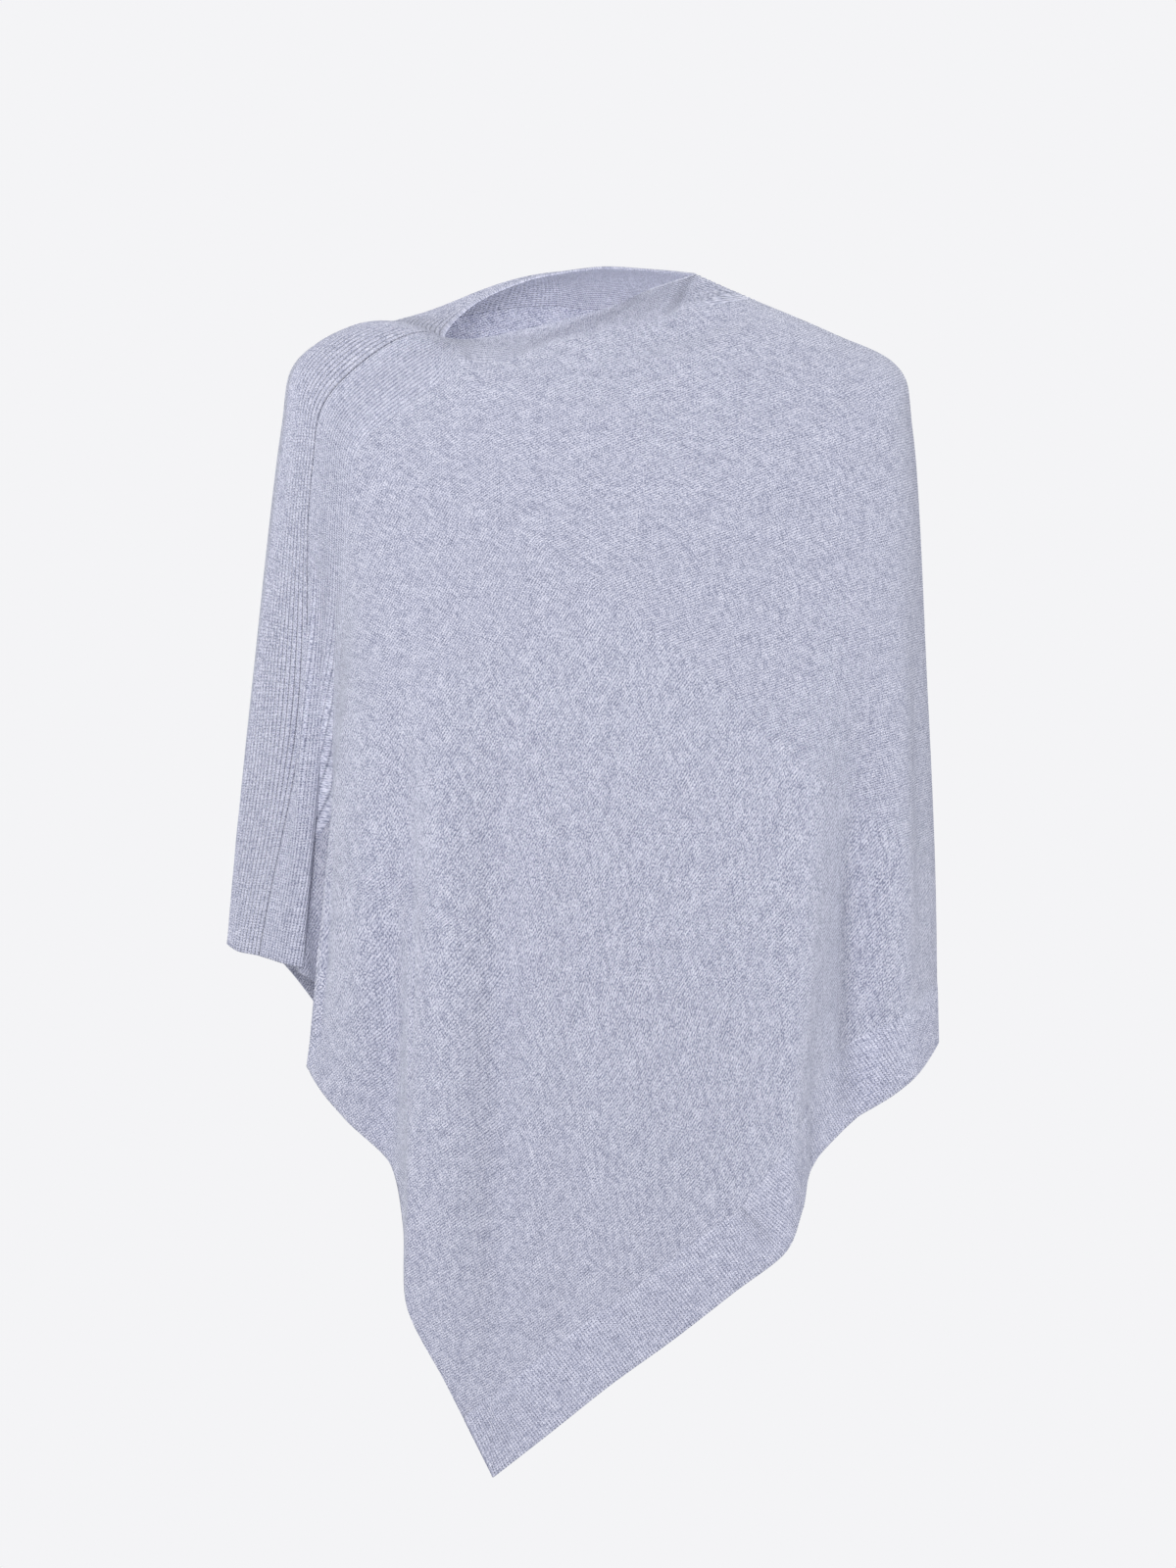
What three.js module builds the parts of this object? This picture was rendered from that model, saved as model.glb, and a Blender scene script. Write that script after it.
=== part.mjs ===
// Knitted poncho sweater, worn by nobody but filled out, in millimetres.
// +Z is up, +X is the wearer's left, the front faces -Y.
// The origin lies between the shoulders, level with the base of the neck.
import * as THREE from 'three';

// Driving sizes of the knit
const PANEL_WALL = 1.6;
const BAND_WALL = 1.3;
const SEAM_GAP = 0.4;
const FRONT_BAND_WIDTH = 47;
const FRONT_RIB_PITCH = 2.4;
const FRONT_RIB_HEIGHT = 0.5;
const BACK_BAND_WIDTH = 60;
const BACK_RIB_PITCH = 4;
const BACK_RIB_HEIGHT = 0.8;
const HEM_BAND_WIDTH = 47;
const HEM_RIB_PITCH = 2.4;
const HEM_RIB_HEIGHT = 0.5;
const CHEST_Z = -300;

// How long the drape runs from the neck edge to each section, used as the spacing of its spline
const DROP = { neck: 0, collar: 34, yoke: 112, tip: 160, arm: 225, chest: 320 };

// Sections over the shoulders, from the collar down to the upper arm
const SECTION_COLUMNS = ['level', 'leftX', 'rightX', 'frontY', 'backY', 'leftZ', 'frontZ', 'rightZ', 'backZ', 'power'];
const SECTION_ROWS = [
  ['collar', -140, 96, -84, 82, -19, -50, 8, 23, 2.0],
  ['yoke', -192, 174, -112, 104, -23, -115, -25, -34, 2.2],
  ['tip', -225, 219, -125, 114, -45, -175, -47, -105, 2.4],
  ['arm', -237, 233, -131, 120, -98, -230, -98, -180, 2.4],
];

// The neck edge, from the seam along the front, round the wearer's left and back again
const NECK_COLUMNS = ['x', 'y', 'z'];
const NECK_ROWS = [
  [-112, -14, -35],
  [-97, -27, -33],
  [-70, -42, -27],
  [-33, -53, -19],
  [5, -58, -8],
  [36, -54, 5],
  [60, -34, 14],
  [70, -4, 19],
  [62, 28, 22],
  [36, 48, 25],
  [1, 56, 27],
  [-45, 52, 20],
  [-71, 43, 11],
  [-92, 31, 0],
  [-107, 16, -13],
  [-115, 0, -25],
];

// Lines that hang from the neck edge to the hem, a row for each crest, trough or turn of the cloth.
// neck counts along the neck edge, turn is the angle on the sections, then the chest and the hem.
const LINE_COLUMNS = ['name', 'neck', 'turn', 'chestX', 'chestY', 'hemX', 'hemY', 'hemZ'];
const LINE_ROWS = [
  ['seam', 0, 209, -223, -48, -253, -22, -487],
  ['arm front', 0.4, 213, -219, -63, -231, -37, -494],
  ['tuck edge', 0.8, 217, -211, -73, -216, -40, -499],
  ['hollow', 1.2, 220, -200, -73, -203, -18, -512],
  ['hollow front', 1.6, 224, -192, -85, -189, -46, -543],
  ['front fold', 2, 229, -186, -105, -216, -86, -568],
  ['left trough', 2.4, 236, -167, -122, -188, -103, -605],
  ['left corner', 2.8, 242, -146, -131, -154, -112, -639],
  ['left fold', 3.1, 246, -133, -136, -144, -130, -684],
  ['left ridge', 3.4, 250, -119, -139, -141, -148, -742],
  ['point side', 3.7, 253, -102, -140, -112, -151, -798],
  ['front point', 4, 257, -82, -140, -78, -149, -866],
  ['lower front', 4.5, 265, -35, -142, -36, -152, -833],
  ['front', 4.9, 271, 6, -143, 8, -154, -798],
  ['right front', 5.3, 279, 54, -142, 54, -151, -765],
  ['right bulge', 5.7, 289, 98, -137, 98, -147, -731],
  ['right ridge', 6, 298, 133, -129, 136, -138, -702],
  ['right fold', 6.3, 304, 152, -122, 149, -114, -670],
  ['right trough', 6.6, 311, 170, -112, 158, -88, -637],
  ['right side', 6.8, 322, 198, -94, 196, -74, -606],
  ['outer front', 7, 338, 228, -62, 233, -52, -577],
  ['outer arm', 7.2, 357, 244, -8, 252, 0, -552],
  ['outer back', 7.6, 376, 234, 44, 241, 46, -558],
  ['back side', 8.1, 401, 196, 90, 200, 84, -588],
  ['back trough', 8.6, 416, 152, 108, 152, 98, -622],
  ['back ridge', 9.2, 430, 104, 124, 108, 132, -656],
  ['back', 10, 442, 48, 128, 48, 136, -700],
  ['back middle', 10.6, 451, -6, 130, -6, 130, -742],
  ['back point', 11.2, 461, -60, 130, -66, 146, -806],
  ['back fold', 11.7, 471, -106, 124, -112, 136, -712],
  ['back left', 12.3, 483, -148, 110, -154, 106, -622],
  ['back hollow', 13, 497, -186, 92, -200, 92, -545],
  ['back arm', 13.8, 511, -224, 70, -240, 76, -492],
  ['arm back', 14.6, 527, -252, 36, -267, 50, -483],
  ['arm side', 15.2, 541, -260, 0, -277, 18, -479],
  ['arm turn', 15.6, 556, -244, -28, -269, -4, -484],
];

// Where the pieces meet, counted in rows of the table above
const LINE_NAMES = LINE_ROWS.map((row) => row[0]);
const SEAM_LINE = LINE_NAMES.indexOf('seam');
const FRONT_POINT_LINE = LINE_NAMES.indexOf('front point');
const SIDE_LINE = LINE_NAMES.indexOf('outer arm') + 0.4;
const BACK_POINT_LINE = LINE_NAMES.indexOf('back point');
const LINE_COUNT = LINE_ROWS.length;

const FULL_TURN = 360;
const RADIAN = Math.PI / 180;
const SPLINE_TENSION = 0.42;
const UPPER_SHARE = 0.5;

function namedRows(columns, rows) {
  return rows.map((row) => Object.fromEntries(columns.map((column, index) => [column, row[index]])));
}

const SECTIONS = namedRows(SECTION_COLUMNS, SECTION_ROWS);
const NECK = namedRows(NECK_COLUMNS, NECK_ROWS);
const LINES = namedRows(LINE_COLUMNS, LINE_ROWS);

function mix(a, b, share) {
  return a + (b - a) * share;
}

function smooth(from, to, value) {
  const share = Math.min(1, Math.max(0, (value - from) / (to - from)));
  return share * share * (3 - 2 * share);
}

// A cubic through the middle two of four values
function cubic(before, start, end, after, share) {
  const slopeStart = SPLINE_TENSION * (end - before);
  const slopeEnd = SPLINE_TENSION * (after - start);
  const square = share * share;
  const cube = square * share;
  return start * (2 * cube - 3 * square + 1) + end * (3 * square - 2 * cube)
    + slopeStart * (cube - 2 * square + share) + slopeEnd * (cube - square);
}

// A value read from a closed list; whole turns add wrap to it
function closedValue(list, place, wrap = 0) {
  const count = list.length;
  const base = Math.floor(place);
  const at = (index) => {
    const turns = Math.floor(index / count);
    return list[index - turns * count] + turns * wrap;
  };
  return cubic(at(base - 1), at(base), at(base + 1), at(base + 2), place - base);
}

const NECK_X = NECK.map((row) => row.x);
const NECK_Y = NECK.map((row) => row.y);
const NECK_Z = NECK.map((row) => row.z);

function neckPoint(place) {
  return new THREE.Vector3(closedValue(NECK_X, place), closedValue(NECK_Y, place), closedValue(NECK_Z, place));
}

// A point of a section over the shoulders: a rounded oval whose height differs on its four sides
function sectionPoint(section, turn) {
  const cosine = Math.cos(turn * RADIAN);
  const sine = Math.sin(turn * RADIAN);
  const middle = (section.leftX + section.rightX) / 2;
  const halfWidth = (section.rightX - section.leftX) / 2;
  const roundness = 2 / section.power;
  const x = middle + Math.sign(cosine) * halfWidth * Math.abs(cosine) ** roundness;
  const reach = sine < 0 ? -section.frontY : section.backY;
  const y = Math.sign(sine) * reach * Math.abs(sine) ** roundness;
  const sideZ = cosine < 0 ? section.leftZ : section.rightZ;
  const faceZ = sine < 0 ? section.frontZ : section.backZ;
  return new THREE.Vector3(x, y, sideZ * cosine * cosine + faceZ * sine * sine);
}

function column(name) {
  return LINES.map((row) => row[name]);
}

const LINE_NECK = column('neck');
const LINE_TURN = column('turn');
const LINE_CHEST = [column('chestX'), column('chestY')];
const LINE_HEM = [column('hemX'), column('hemY'), column('hemZ')];

// The hem of a point line is a corner, so its curve is read on one side of the corner alone
function hemValue(list, line) {
  const base = Math.floor(line);
  const share = line - base;
  const at = (index) => list[((index % LINE_COUNT) + LINE_COUNT) % LINE_COUNT];
  const isPoint = (index) => {
    const wrapped = ((index % LINE_COUNT) + LINE_COUNT) % LINE_COUNT;
    return wrapped === FRONT_POINT_LINE || wrapped === BACK_POINT_LINE;
  };
  const start = at(base);
  const end = at(base + 1);
  const before = isPoint(base) ? 2 * start - end : at(base - 1);
  const after = isPoint(base + 1) ? 2 * end - start : at(base + 2);
  return cubic(before, start, end, after, share);
}

// The points that one hanging line passes, with the spacing of its spline
function linePoints(line) {
  const neck = neckPoint(closedValue(LINE_NECK, line, NECK.length));
  const turn = closedValue(LINE_TURN, line, FULL_TURN);
  const sections = SECTIONS.map((section) => sectionPoint(section, turn));
  const chest = new THREE.Vector3(closedValue(LINE_CHEST[0], line), closedValue(LINE_CHEST[1], line), CHEST_Z);
  const hem = new THREE.Vector3(hemValue(LINE_HEM[0], line), hemValue(LINE_HEM[1], line), hemValue(LINE_HEM[2], line));
  const drops = [DROP.neck, DROP.collar, DROP.yoke, DROP.tip, DROP.arm, DROP.chest, DROP.chest + CHEST_Z - hem.z];
  return { points: [neck, ...sections, chest, hem], drops };
}

function slopeAt(points, drops, index) {
  const last = points.length - 1;
  if (index === 0) {
    return points[1].clone().sub(points[0]).divideScalar(drops[1] - drops[0]);
  }
  if (index === last) {
    return points[last].clone().sub(points[last - 1]).divideScalar(drops[last] - drops[last - 1]);
  }
  const before = drops[index] - drops[index - 1];
  const after = drops[index + 1] - drops[index];
  const slopeBefore = points[index].clone().sub(points[index - 1]).divideScalar(before);
  const slopeAfter = points[index + 1].clone().sub(points[index]).divideScalar(after);
  return slopeBefore.multiplyScalar(after).add(slopeAfter.multiplyScalar(before)).divideScalar(before + after);
}

// The cloth's outer face: line counts round the body, fall runs from 0 at the neck edge to 1 at the hem
function clothPoint(line, fall) {
  const { points, drops } = linePoints(line);
  const last = points.length - 1;
  const drop = fall < UPPER_SHARE
    ? mix(0, DROP.chest, fall / UPPER_SHARE)
    : mix(DROP.chest, drops[last], (fall - UPPER_SHARE) / (1 - UPPER_SHARE));
  let index = 0;
  while (index < last - 1 && drop > drops[index + 1]) {
    index += 1;
  }
  const span = drops[index + 1] - drops[index];
  const share = (drop - drops[index]) / span;
  const square = share * share;
  const cube = square * share;
  return points[index].clone().multiplyScalar(2 * cube - 3 * square + 1)
    .addScaledVector(points[index + 1], 3 * square - 2 * cube)
    .addScaledVector(slopeAt(points, drops, index), (cube - 2 * square + share) * span)
    .addScaledVector(slopeAt(points, drops, index + 1), (cube - square) * span);
}

const LINE_STEP = 0.02;
const FALL_STEP = 0.004;

// How the cloth runs at a place: along the lines' count, down the fall and outwards
function clothFrame(line, fall) {
  const low = Math.max(0, fall - FALL_STEP);
  const high = Math.min(1, fall + FALL_STEP);
  const around = clothPoint(line + LINE_STEP, fall).sub(clothPoint(line - LINE_STEP, fall));
  around.divideScalar(2 * LINE_STEP);
  const down = clothPoint(line, high).sub(clothPoint(line, low)).divideScalar(high - low);
  const outward = around.clone().cross(down).normalize().negate();
  return { around, down, outward };
}

const STRIDE = 6;

// One stride over the cloth from a place, in a heading given as a vector
function stepOver([line, fall], direction, stride, { around, down }) {
  const aa = around.dot(around);
  const ad = around.dot(down);
  const dd = down.dot(down);
  const ha = direction.dot(around);
  const hd = direction.dot(down);
  const determinant = aa * dd - ad * ad;
  const nextLine = line + stride * (ha * dd - hd * ad) / determinant;
  const nextFall = fall + stride * (hd * aa - ha * ad) / determinant;
  return [nextLine, Math.min(1, Math.max(0, nextFall))];
}

// Walks a distance over the cloth from a place and returns the place reached.
// The heading is a function of the frame there and of the direction walked so far.
// The offset is a last small stride, so that two pieces end on either side of the same place.
function walk(start, heading, distance, offset = 0) {
  const steps = Math.max(1, Math.ceil(distance / STRIDE));
  const stride = distance / steps;
  let place = start;
  let direction = null;
  for (let step = 0; step < steps; step += 1) {
    const frame = clothFrame(...place);
    direction = heading(frame, direction);
    place = stepOver(place, direction, stride, frame);
  }
  if (offset !== 0) {
    place = stepOver(place, direction, offset, clothFrame(...place));
  }
  return place;
}

// A heading that runs at a fixed angle between the lines' count and the fall
function angledHeading(sign, angle) {
  return ({ around, down }) => around.clone().normalize().multiplyScalar(sign * Math.cos(angle))
    .addScaledVector(down.clone().normalize(), Math.sin(angle));
}

// A heading that starts as a vector and stays straight on the cloth
function straightHeading(vector) {
  return ({ outward }, before) => {
    const direction = (before ?? vector).clone();
    return direction.addScaledVector(outward, -direction.dot(outward)).normalize();
  };
}

// A band along an edge: how wide it is, its wall and its raised ribs
const FRONT_BAND = { width: FRONT_BAND_WIDTH, wall: BAND_WALL, pitch: FRONT_RIB_PITCH, rib: FRONT_RIB_HEIGHT };
const BACK_BAND = { width: BACK_BAND_WIDTH, wall: BAND_WALL, pitch: BACK_RIB_PITCH, rib: BACK_RIB_HEIGHT };
const HEM_BAND = { width: HEM_BAND_WIDTH, wall: BAND_WALL, pitch: HEM_RIB_PITCH, rib: HEM_RIB_HEIGHT };

// How finely the walls are cut: rows down the arm, columns for each hanging line, columns for each neck station
const ARM_ROWS = 21;
const COLUMNS_PER_LINE = 2;
const COLUMNS_PER_STATION = 3;
const BAND_INNER_COLUMNS = 5;
const ARM_ROW_SPREAD = 1.15;
const CORNER_FALL = 0.3;
const FRONT_CORNER_LINES = 12;
const BACK_CORNER_LINES = 7;
const CORNER_REACH = 0.3;
const POINT_TURN = 60;
const SIDE_TURN = 50;
const EDGE_PROBE = 0.01;
const HALF_GAP = SEAM_GAP / 2;

// Each half of the garment runs from the shoulder seam to the wearer's left side
const FRONT_HALF = { seam: SEAM_LINE, point: FRONT_POINT_LINE, side: SIDE_LINE, sign: 1, band: FRONT_BAND, corner: FRONT_CORNER_LINES };
const BACK_HALF = { seam: LINE_COUNT, point: BACK_POINT_LINE, side: SIDE_LINE, sign: -1, band: BACK_BAND, corner: BACK_CORNER_LINES };

function evenly(count, from, to) {
  return Array.from({ length: count + 1 }, (_, index) => mix(from, to, index / count));
}

// A point of the wall's outer face or, with a negative lift, of its inner face
function liftedPoint([line, fall], lift) {
  const { outward } = clothFrame(line, fall);
  return clothPoint(line, fall).addScaledVector(outward, lift);
}

// Half of the gap at a seam, counted in lines at this place
function gapInLines(line, fall) {
  return HALF_GAP / clothFrame(line, fall).around.length();
}

// A station of the top band; round the neck corner the band reaches a little further, as a mitre does
function bandStation(half, start, angle) {
  const width = half.band.width * (1 + CORNER_REACH * Math.sin(2 * angle));
  return { start, heading: angledHeading(half.sign, angle), width };
}

// Stations of the top band: up the shoulder seam from the cuff, then along the neck edge to the side
function topStations(half, columnCount) {
  const right = Math.PI / 2;
  const armShares = evenly(ARM_ROWS, 1, 0).map((share) => share ** ARM_ROW_SPREAD);
  const arm = armShares.map((fall) => {
    const angle = right * 0.5 * (1 - smooth(0, CORNER_FALL, fall));
    return bandStation(half, [half.seam, fall], angle);
  });
  const neckCount = columnCount / COLUMNS_PER_STATION;
  const neck = evenly(neckCount, half.seam, half.side).slice(1).map((line) => {
    const angle = right * mix(0.5, 1, smooth(0, half.corner, Math.abs(line - half.seam)));
    const start = line === half.side ? line - half.sign * gapInLines(line, 0) : line;
    return bandStation(half, [start, 0], angle);
  });
  return { arm, neck };
}

// The heading from the hem up into its band: square to the hem, but along the plain edge at its point
function hemHeading(half, line, fromPoint) {
  const here = clothPoint(line, 1);
  const along = clothPoint(line + half.sign * EDGE_PROBE, 1).sub(here).normalize();
  const up = clothFrame(line, 1).down.negate().normalize();
  const square = up.clone().addScaledVector(along, -up.dot(along)).normalize();
  const plain = clothPoint(half.point - half.sign * EDGE_PROBE, 1).sub(clothPoint(half.point, 1)).normalize();
  return plain.lerp(square, smooth(0, POINT_TURN, fromPoint)).normalize();
}

function mixPlaces(start, end, share) {
  return start.map((value, axis) => mix(value, end[axis], share));
}

const STRAIGHT_UP = ({ down }) => down.clone().normalize().negate();

// The place a way into the hem's band; towards the side the stations swing round to the hanging lines
function hemPlace(half, station, distance, offset = 0) {
  const { line, fromPoint, toSide } = station;
  if (fromPoint === 0) {
    return plainEdgePlace(half, distance + offset);
  }
  const start = [toSide === 0 ? line - half.sign * gapInLines(line, 1) : line, 1];
  if (distance === 0) {
    return start;
  }
  const square = walk(start, straightHeading(hemHeading(half, start[0], fromPoint)), distance, offset);
  const upright = walk(start, STRAIGHT_UP, distance, offset);
  return mixPlaces(upright, square, smooth(0, SIDE_TURN, toSide));
}

// The place on the plain edge a given way from the point of the hem
function plainEdgePlace(half, distance) {
  let line = half.point;
  let left = distance;
  while (left > 0) {
    const pace = clothPoint(line - half.sign * EDGE_PROBE, 1).distanceTo(clothPoint(line, 1));
    const share = Math.min(1, left / pace);
    line -= half.sign * EDGE_PROBE * share;
    left -= pace;
  }
  return [line, 1];
}

// Stations along the ribbed hem, with their ways from its point and to the side
function hemStations(half) {
  const count = Math.round(Math.abs(half.side - half.point) * COLUMNS_PER_LINE);
  const lines = evenly(count, half.point, half.side);
  let total = 0;
  const lengths = lines.map((line, index) => {
    const before = clothPoint(lines[Math.max(0, index - 1)], 1);
    total += clothPoint(line, 1).distanceTo(before);
    return total;
  });
  return lines.map((line, index) => ({ line, fromPoint: lengths[index], toSide: total - lengths[index] }));
}

function ribLift(band, index) {
  return index % 2 === 1 ? band.rib : 0;
}

function ribCount(length, pitch) {
  return Math.max(1, Math.round(length / pitch));
}

// The ribbed band along the shoulder seam and the neck edge: its ribs run along the edge
function topBand(half, stations) {
  const { band } = half;
  const ribs = 2 * ribCount(band.width, band.pitch);
  const outer = [];
  const inner = [];
  [...stations.arm, ...stations.neck].forEach(({ start, heading, width }, index) => {
    const from = index < stations.arm.length ? HALF_GAP : 0;
    const edge = walk(start, heading, width, -HALF_GAP);
    const placesAt = (count) => [
      ...evenly(count, from, width).slice(0, -1).map((distance) => walk(start, heading, distance)),
      edge,
    ];
    outer.push(placesAt(ribs).map((place, rib) => liftedPoint(place, ribLift(band, rib))));
    inner.push(placesAt(BAND_INNER_COLUMNS).map((place) => liftedPoint(place, -band.wall)));
  });
  return closedWall(outer, inner);
}

// The ribbed band along the hem: its ribs stand square to the hem
function hemBand(half) {
  const stations = hemStations(half);
  const ends = stations.map((station) => [
    hemPlace(half, station, 0),
    hemPlace(half, station, HEM_BAND.width, -HALF_GAP),
  ]);
  const inner = ends.map((pair) => pair.map((place) => liftedPoint(place, -HEM_BAND.wall)));
  const upperEdge = ends.map(([, place]) => liftedPoint(place, 0));
  const outer = stations.slice(0, -1).flatMap((station, index) => {
    const length = stations[index + 1].fromPoint - station.fromPoint;
    const ribs = 2 * ribCount(length, HEM_BAND.pitch);
    return evenly(ribs, 0, 1).slice(0, -1).map((share, rib) => {
      const lift = ribLift(HEM_BAND, rib);
      const foot = mixPlaces(ends[index][0], ends[index + 1][0], share);
      const top = mixPlaces(ends[index][1], ends[index + 1][1], share);
      const onChord = upperEdge[index].clone().lerp(upperEdge[index + 1], share);
      return [liftedPoint(foot, lift), onChord.addScaledVector(clothFrame(...top).outward, lift)];
    });
  });
  outer.push(ends.at(-1).map((place) => liftedPoint(place, 0)));
  return closedWall(outer, inner);
}

// The plain knit between the bands: its columns hang from the neck band and end on the hem or the plain edge
function panel(half, stations, columnCount) {
  const besideBand = ({ start, heading, width }) => walk(start, heading, width, HALF_GAP);
  const left = stations.arm.map(besideBand).reverse();
  const stationTops = [left[0], ...stations.neck.map(besideBand)];
  const tops = evenly(columnCount, 0, stationTops.length - 1).map((at) => {
    const base = Math.min(stationTops.length - 2, Math.floor(at));
    return mixPlaces(stationTops[base], stationTops[base + 1], at - base);
  });
  const hemPlaces = hemStations(half).map((station) => hemPlace(half, station, HEM_BAND.width, HALF_GAP));
  const plainCount = columnCount - (hemPlaces.length - 1);
  const plainStart = left.at(-1)[0];
  const plainPlaces = evenly(plainCount, plainStart, hemPlaces[0][0]).map((line) => [line, 1]);
  const bottoms = [...plainPlaces.slice(0, -1), ...hemPlaces];
  const firstFall = left[0][1];
  const shares = left.map(([, fall]) => (fall - firstFall) / (1 - firstFall));
  const topShares = lineShares(tops);
  const bottomShares = lineShares(bottoms);
  const places = shares.map((share, row) => {
    const rightLine = mix(tops.at(-1)[0], bottoms.at(-1)[0], share);
    return tops.map((top, index) => {
      const across = mix(topShares[index], bottomShares[index], share);
      return [mix(left[row][0], rightLine, across), mix(top[1], bottoms[index][1], share)];
    });
  });
  const outerFace = places.map((row) => row.map((place) => liftedPoint(place, 0)));
  const innerFace = places.map((row) => row.map((place) => liftedPoint(place, -PANEL_WALL)));
  straightenTop(outerFace[0]);
  straightenTop(innerFace[0]);
  return closedWall(outerFace, innerFace);
}

function lineShares(places) {
  const first = places[0][0];
  const last = places.at(-1)[0];
  return places.map(([line]) => (line - first) / (last - first));
}

// Between two stations of the neck band the panel's edge follows the band's straight chord
function straightenTop(points) {
  for (let index = 0; index < points.length; index += 1) {
    const within = index % COLUMNS_PER_STATION;
    if (within === 0) {
      continue;
    }
    const start = points[index - within];
    const end = points[index - within + COLUMNS_PER_STATION];
    points[index].copy(start).lerp(end, within / COLUMNS_PER_STATION);
  }
}

function chordShares(points) {
  const lengths = [0];
  points.slice(1).forEach((point, index) => lengths.push(lengths[index] + point.distanceTo(points[index])));
  return lengths.map((length) => length / lengths.at(-1));
}

// Triangles that close the strip between two lists of vertices that share their ends' places
function zip(outerIds, innerIds, outerPoints, innerPoints, triangles) {
  const outerShares = chordShares(outerPoints);
  const innerShares = chordShares(innerPoints);
  let outerAt = 0;
  let innerAt = 0;
  while (outerAt < outerIds.length - 1 || innerAt < innerIds.length - 1) {
    const outerNext = outerAt < outerIds.length - 1 ? outerShares[outerAt + 1] : Infinity;
    const innerNext = innerAt < innerIds.length - 1 ? innerShares[innerAt + 1] : Infinity;
    if (outerNext <= innerNext) {
      triangles.push([outerIds[outerAt], outerIds[outerAt + 1], innerIds[innerAt]]);
      outerAt += 1;
    } else {
      triangles.push([outerIds[outerAt], innerIds[innerAt + 1], innerIds[innerAt]]);
      innerAt += 1;
    }
  }
}

function gridTriangles(rows, points, isOuter, triangles) {
  for (let row = 0; row < rows.length - 1; row += 1) {
    for (let col = 0; col < rows[row].length - 1; col += 1) {
      const a = rows[row][col];
      const b = rows[row][col + 1];
      const c = rows[row + 1][col + 1];
      const d = rows[row + 1][col];
      const shortAC = points[a].distanceTo(points[c]) <= points[b].distanceTo(points[d]);
      const pair = shortAC ? [[a, b, c], [a, c, d]] : [[a, b, d], [b, c, d]];
      pair.forEach(([p, q, r]) => triangles.push(isOuter ? [p, q, r] : [p, r, q]));
    }
  }
}

function signedVolume(points, triangles) {
  const normal = new THREE.Vector3();
  return triangles.reduce((sum, [p, q, r]) => sum + normal.copy(points[q]).cross(points[r]).dot(points[p]), 0) / 6;
}

// One closed wall from the points of its outer face and its inner face, row by row
function closedWall(outer, inner) {
  const points = [];
  const number = (rows) => rows.map((row) => row.map((point) => points.push(point) - 1));
  const outerIds = number(outer);
  const innerIds = number(inner);
  const triangles = [];
  gridTriangles(outerIds, points, true, triangles);
  gridTriangles(innerIds, points, false, triangles);
  const first = (rows) => rows[0];
  const last = (rows) => rows.at(-1);
  const leftSide = (rows) => rows.map((row) => row[0]);
  const rightSide = (rows) => rows.map((row) => row.at(-1));
  const reversed = (list) => [...list].reverse();
  const edges = [
    [reversed(first(outerIds)), reversed(first(innerIds))],
    [last(outerIds), last(innerIds)],
    [leftSide(outerIds), leftSide(innerIds)],
    [reversed(rightSide(outerIds)), reversed(rightSide(innerIds))],
  ];
  edges.forEach(([outerEdge, innerEdge]) => {
    const at = (ids) => ids.map((id) => points[id]);
    zip(outerEdge, innerEdge, at(outerEdge), at(innerEdge), triangles);
  });
  const isInsideOut = signedVolume(points, triangles) < 0;
  const faces = isInsideOut ? triangles.map(([p, q, r]) => [p, r, q]) : triangles;
  const geometry = new THREE.BufferGeometry();
  geometry.setAttribute('position', new THREE.Float32BufferAttribute(points.flatMap((point) => point.toArray()), 3));
  geometry.setIndex(faces.flat());
  geometry.computeVertexNormals();
  return geometry;
}

// Colours of the melange wool: the plain knit, and the bands whose ribs catch a little more light
function woolMaterial(colour) {
  return new THREE.MeshStandardMaterial({ color: colour, roughness: 0.92, metalness: 0 });
}

function knitPiece(name, geometry, colour) {
  const mesh = new THREE.Mesh(geometry, woolMaterial(colour));
  mesh.name = name;
  return mesh;
}

const PANEL_COLOUR = 0xb9bbce;
const BAND_COLOUR = 0xb3b6c9;

// The number of columns in a panel, a whole number for each station of its neck band
function panelColumns(half) {
  const lines = Math.abs(half.side - half.seam);
  return COLUMNS_PER_STATION * Math.round(lines * COLUMNS_PER_LINE / COLUMNS_PER_STATION);
}

function halfPieces(half, label) {
  const columnCount = panelColumns(half);
  const stations = topStations(half, columnCount);
  return [
    knitPiece(`${label}_panel`, panel(half, stations, columnCount), PANEL_COLOUR),
    knitPiece(`${label}_top_band`, topBand(half, stations), BAND_COLOUR),
    knitPiece(`${label}_hem_band`, hemBand(half), BAND_COLOUR),
  ];
}

const poncho = new THREE.Group();
poncho.name = 'poncho_sweater';
poncho.add(...halfPieces(FRONT_HALF, 'front'), ...halfPieces(BACK_HALF, 'back'));

export default poncho;
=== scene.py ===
# Looks of the knitted poncho sweater. Tables are in millimetres, Blender objects in metres.
import math

import bpy
import numpy as np
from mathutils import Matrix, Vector


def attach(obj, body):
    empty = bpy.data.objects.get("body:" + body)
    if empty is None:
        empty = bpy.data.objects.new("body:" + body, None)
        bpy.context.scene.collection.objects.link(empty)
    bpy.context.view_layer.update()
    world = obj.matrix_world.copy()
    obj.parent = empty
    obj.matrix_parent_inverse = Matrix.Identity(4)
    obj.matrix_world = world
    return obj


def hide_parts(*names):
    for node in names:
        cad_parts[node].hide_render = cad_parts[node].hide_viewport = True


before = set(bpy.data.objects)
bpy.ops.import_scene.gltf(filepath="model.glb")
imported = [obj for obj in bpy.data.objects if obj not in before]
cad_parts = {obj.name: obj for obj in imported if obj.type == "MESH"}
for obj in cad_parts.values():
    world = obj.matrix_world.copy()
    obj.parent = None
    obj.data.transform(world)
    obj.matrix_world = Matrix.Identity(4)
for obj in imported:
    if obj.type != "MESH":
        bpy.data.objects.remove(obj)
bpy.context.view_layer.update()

MM = 0.001

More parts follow.
